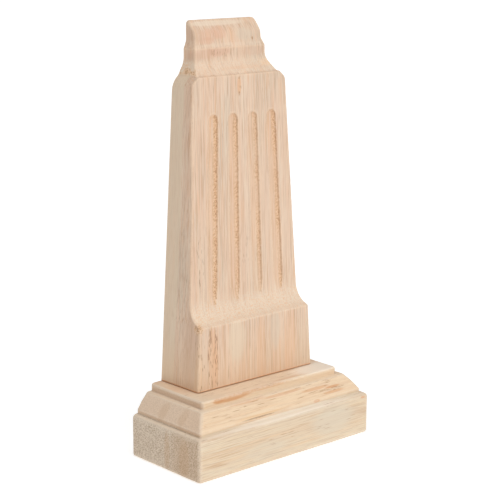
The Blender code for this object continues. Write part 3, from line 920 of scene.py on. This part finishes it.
plinthWood = {
    "pale": tone(221, 205, 180), "warm": tone(216, 193, 165), "grey": tone(211, 199, 179),
    "glow": tone(242, 208, 170), "pore": tone(160, 108, 68), "orange": tone(212, 158, 116),
    "crack": tone(140, 92, 56), "streak": tone(204, 150, 104), "bevelEnd": tone(226, 198, 172),
    # paintedLight: a pale tone that stands in for light on the plinth's top
    "paintedLight": tone(248, 238, 224), "joint": tone(228, 164, 110), "halo": tone(228, 190, 140),
    "end": tone(219, 204, 185), "endDark": tone(158, 128, 98), "step": tone(192, 154, 116),
    # litLedge: the pale tone of painted light on up-facing ledges
    "litLedge": tone(228, 210, 190), "wearAndHighlight": tone(228, 212, 192),
    "roughness": 0.74, "roughSpan": 0.14, "fibreBump": 0.6, "poreBump": -1.3, "speckleBump": 0.8,
    "fine": {
        "Band": 4.5 * mm, "Fibre": 0.42 * mm, "Line": 2.2 * mm,
        "Pore": 0.26 * mm, "Pore length": 4.5 * mm, "Pore share": 0.02},
    "wide": {
        "Band": 2.4 * mm, "Fibre": 0.9 * mm, "Line": 3.4 * mm,
        "Pore": 0.28 * mm, "Pore length": 7.5 * mm, "Pore share": -0.05},
    "wideShift": (0.21, 0.43, 0.1), "ragged": (70, 1100, 1100),
    # where the tones begin and end: glow and bevelFoot along Z, browner along Y, the ledges' painted light
    # along X
    "glowRise": (21.5 * mm, 22.5 * mm), "bevelFoot": (21 * mm, 22 * mm),
    "browner": (-2 * mm, -13 * mm), "brownSway": 2.5 * mm, "litLedgeSpan": (-46 * mm, -36 * mm),
    "jointFront": (-2.9 * mm, -2.4 * mm), "jointRise": (33.8 * mm, 34.0 * mm),
    "strength": {
        "greyBands": 0.3, "haloFibre": 0.30, "brownFibre": 0.30, "brownLines": 0.20, "glow": 0.4,
        "end": 0.85, "endBrown": 0.36, "bevelEnd": 0.7, "speckle": 0.66, "bevelSpeckle": 0.35,
        "stepShadeFront": 0.08, "stepShadeEnd": 0.22,
        "litLedgeLeft": 0.6, "litLedgeRight": 0.35, "joint": 0.9, "pores": 0.7, "endPores": 0.9, "edge": 0.45},
    "patches": (
        ((-24.5, -13.7, 32.5), (13.0, 2.6, 1.9), "streak", 0.80),
        ((-33.6, -13.7, 32.7), (4.2, 2.4, 1.7), "streak", 0.85),
        ((-20.0, -13.7, 33.4), (11.0, 1.8, 0.9), "streak", 0.60),
        ((-4.0, -13.7, 33.2), (17.0, 2.2, 1.3), "streak", 0.60),
        ((12.0, -11.4, 33.9), (12.0, 1.3, 1.0), "streak", 0.50),
        ((-18.0, -16.6, 29.9), (14.0, 1.6, 0.9), "orange", 0.45),
        ((4.0, -17.4, 29.2), (16.0, 1.5, 0.9), "orange", 0.45),
        ((24.0, -18.6, 27.6), (11.0, 1.5, 0.9), "orange", 0.55),
        ((35.0, -19.5, 26.7), (6.0, 1.0, 0.6), "orange", 0.8),
        ((35.0, -21.1, 24.8), (9.0, 1.2, 0.7), "orange", 0.6),
        ((-16.0, -22.0, 23.4), (17.0, 2.0, 1.4), "halo", 0.3),
        ((-16.0, -22.2, 23.0), (13.0, 1.2, 0.42), "crack", 0.7),
        ((21.9, -22.3, 22.7), (2.6, 1.2, 0.8), "orange", 0.9),
        ((51.2, -25.2, 19.1), (2.0, 1.2, 0.7), "orange", 0.8),
        # painted light: the plinth's top right made pale where the body's shadow falls
        ((38.0, -8.0, 34.0), (24.0, 9.0, 1.4), "paintedLight", 0.8),
        ((30.0, -25.0, 12.0), (18.0, 4.0, 9.0), "grey", 0.6),
        ((-14.0, -25.0, 7.0), (16.0, 4.0, 5.0), "grey", 0.4),
        # painted light along the lower ledge, against the shade in its corner
        ((0.0, -23.6, 20.9), (56.0, 3.0, 1.6), "paintedLight", 0.5),
        ((-55.0, -1.5, 9.0), (4.0, 2.6, 13.0), "step", 0.35),
        ((-55.0, -14.0, 8.0), (4.0, 4.5, 13.0), "step", 0.30),
        ((-50.0, 7.0, 26.0), (7.0, 3.5, 6.0), "step", 0.25),
        ((-50.0, -7.0, 26.0), (7.0, 3.0, 6.0), "step", 0.20),
    ),
    "clusters": (
        ((0.0, -18.5, 27.5), (62.0, 6.0, 6.0), 0.26, 5.0, 0.30, 0.22),
        ((-8.0, -9.0, 34.0), (40.0, 8.0, 2.0), 0.26, 4.0, 0.30, 0.25),
        ((34.0, -20.3, 25.8), (10.0, 1.8, 2.2), 0.30, 5.0, 0.70, 0.6),
    ),
}


def makePlinthWood():
    w, strength = plinthWood, plinthWood["strength"]
    material, nodes, shader, spot = startMaterial("plinthWood")
    places = nodes.add("ShaderNodeSeparateXYZ", {0: spot}).outputs
    # the grain runs along X
    along = nodes.add("ShaderNodeCombineXYZ", {0: places[1], 1: places[2], 2: places[0]}).outputs[0]
    fine, wide = layGrain(nodes, along, w)
    colour = nodes.mix(fine["Bands"], w["pale"], w["warm"])
    colour = nodes.tint(colour, w["grey"], wide["Bands"], strength["greyBands"])
    colour = nodes.mix(nodes.ramp(wide["Fibre"], 0.44, 0.72, 0.0, strength["haloFibre"]), colour, w["halo"])
    colour = nodes.mix(nodes.ramp(fine["Fibre"], 0.48, 0.62, 0.0, strength["brownFibre"]), colour, w["pore"])
    colour = nodes.tint(colour, w["pore"], wide["Lines"], strength["brownLines"])
    colour = nodes.mix(nodes.ramp(places[2], *w["glowRise"], 0.0, strength["glow"]), colour, w["glow"])
    # end grain: a grey-tan speckle, browner in upright bands towards the front edge
    end, litLedge, step = (nodes.attribute(name) for name in ("endGrain", "litLedge", "step"))
    speckle = nodes.noise(nodes.place(spot, (900, 2200, 2200)), 2.0, 0.6)
    bands = nodes.noise(nodes.place(spot, (10, 260, 20)), 1.0)
    bands = nodes.math("ADD", places[1], nodes.ramp(bands, 0.42, 0.58, -w["brownSway"], w["brownSway"]))
    colour = nodes.tint(colour, w["end"], end, strength["end"])
    colour = nodes.tint(colour, w["step"], end, nodes.ramp(bands, *w["browner"], 0.0, strength["endBrown"]))
    onBevel = nodes.ramp(places[2], *w["bevelFoot"], 0.0, strength["bevelEnd"])
    colour = nodes.tint(colour, w["bevelEnd"], end, onBevel)
    speckled = nodes.ramp(places[2], *w["bevelFoot"], 1.0, strength["bevelSpeckle"])
    speckled = nodes.times(end, speckled)
    specks = nodes.ramp(speckle, 0.46, 0.58, 0.0, strength["speckle"])
    colour = nodes.tint(colour, w["endDark"], speckled, specks)
    # the step faces browner, more on the ends: partly torn end grain, partly painted shade in the corners of
    # the steps
    brown = nodes.math("MULTIPLY_ADD", end, strength["stepShadeEnd"], strength["stepShadeFront"])
    colour = layPatches(nodes, spot, nodes.tint(colour, w["step"], step, brown), w)
    # painted light: up-facing ledges made paler, more on the left end than on the right
    paler = nodes.ramp(places[0], *w["litLedgeSpan"], strength["litLedgeLeft"], strength["litLedgeRight"])
    colour = nodes.tint(colour, w["litLedge"], litLedge, paler)
    # brown under the edge of the body
    joint = nodes.times(nodes.ramp(places[1], *w["jointFront"]), nodes.ramp(places[2], *w["jointRise"]))
    colour = nodes.tint(colour, w["joint"], joint, strength["joint"])
    pores = layClusters(nodes, spot, along, nodes.math("MAXIMUM", fine["Pores"], wide["Pores"]), w)
    pores = nodes.times(pores, nodes.math("MULTIPLY_ADD", end, -strength["endPores"], 1.0))
    colour = nodes.tint(colour, w["pore"], pores, strength["pores"])
    # paler rounded edges: partly wear, partly painted highlight
    paleEdge = nodes.useGroup(edgeWearAndHighlight, {
        "Vector": spot, "Edge": nodes.attribute("edge"), "Amount": strength["edge"]})[0]
    colour = nodes.mix(paleEdge, colour, w["wearAndHighlight"])
    finishWood(nodes, shader, w, colour, fine["Fibre"], pores, ((speckle, end, w["speckleBump"]),))
    return material


bodyMaterial, plinthMaterial = makeBodyWood(), makePlinthWood()
print("woods ready")
makeBody(bodyMaterial)
makePlinth(plinthMaterial)


studio = {
    "look": (10.57 * mm, 14.40 * mm, 93.30 * mm), "distance": 735.29 * mm,
    "azimuth": -41.95, "pitch": 12.67, "roll": 0.32, "lens": 108.36, "sensor": 36.0,
    "floor": tone(205, 205, 205), "floorSize": 6.0, "floorGlow": 0.58,
    "sky": 0.24, "white": (1.0, 1.0, 1.0, 1.0),
    # where each light comes from, how wide it is and how strong
    "lights": {
        "key": ((0.33, -0.92, 0.21), 50, 1.33), "frontFill": ((-0.41, -0.89, 0.21), 50, 0.25),
        "overhead": ((-0.12, -0.15, 0.98), 50, 1.36), "leftFill": ((-0.70, -0.25, 0.67), 50, 0.34),
    },
}


def makeCamera():
    s = studio
    turn, pitch, roll = (radians(s[key]) for key in ("azimuth", "pitch", "roll"))
    ahead = Vector((-sin(turn) * cos(pitch), cos(turn) * cos(pitch), -sin(pitch)))
    right = Vector((cos(turn), sin(turn), 0.0))
    up = right.cross(ahead)
    leanRight = right * cos(roll) + up * sin(roll)
    leanUp = up * cos(roll) - right * sin(roll)
    data = bpy.data.cameras.new("camera")
    data.lens = s["lens"]
    data.sensor_width = s["sensor"]
    camera = addObject("camera", data)
    turned = Matrix((leanRight, leanUp, -ahead)).transposed().to_4x4()
    camera.matrix_world = Matrix.Translation(Vector(s["look"]) - ahead * s["distance"]) @ turned
    bpy.context.scene.camera = camera


def makeFloor():
    bm = bmesh.new()
    bmesh.ops.create_grid(bm, x_segments=1, y_segments=1, size=studio["floorSize"])
    data = bpy.data.meshes.new("floor")
    bm.to_mesh(data)
    bm.free()
    material = bpy.data.materials.new("paleFloor")
    material.use_nodes = True
    shader = material.node_tree.nodes["Principled BSDF"]
    shader.inputs["Base Color"].default_value = studio["floor"]
    shader.inputs["Emission Color"].default_value = studio["white"]
    shader.inputs["Emission Strength"].default_value = studio["floorGlow"]
    shader.inputs["Roughness"].default_value = 0.9
    data.materials.append(material)
    addObject("floor", data)


def makeLights():
    s = studio
    for name, (source, spread, power) in s["lights"].items():
        data = bpy.data.lights.new(name, "SUN")
        data.angle = radians(spread)
        data.energy = power
        addObject(name, data).rotation_euler = (-Vector(source)).to_track_quat("-Z", "Y").to_euler()
    world = bpy.data.worlds.new("softSky")
    world.use_nodes = True
    sky = world.node_tree.nodes["Background"]
    sky.inputs["Color"].default_value = s["white"]
    sky.inputs["Strength"].default_value = s["sky"]
    bpy.context.scene.world = world


makeCamera()
makeFloor()
makeLights()
bpy.context.scene.view_settings.view_transform = "Standard"
print("studio ready")
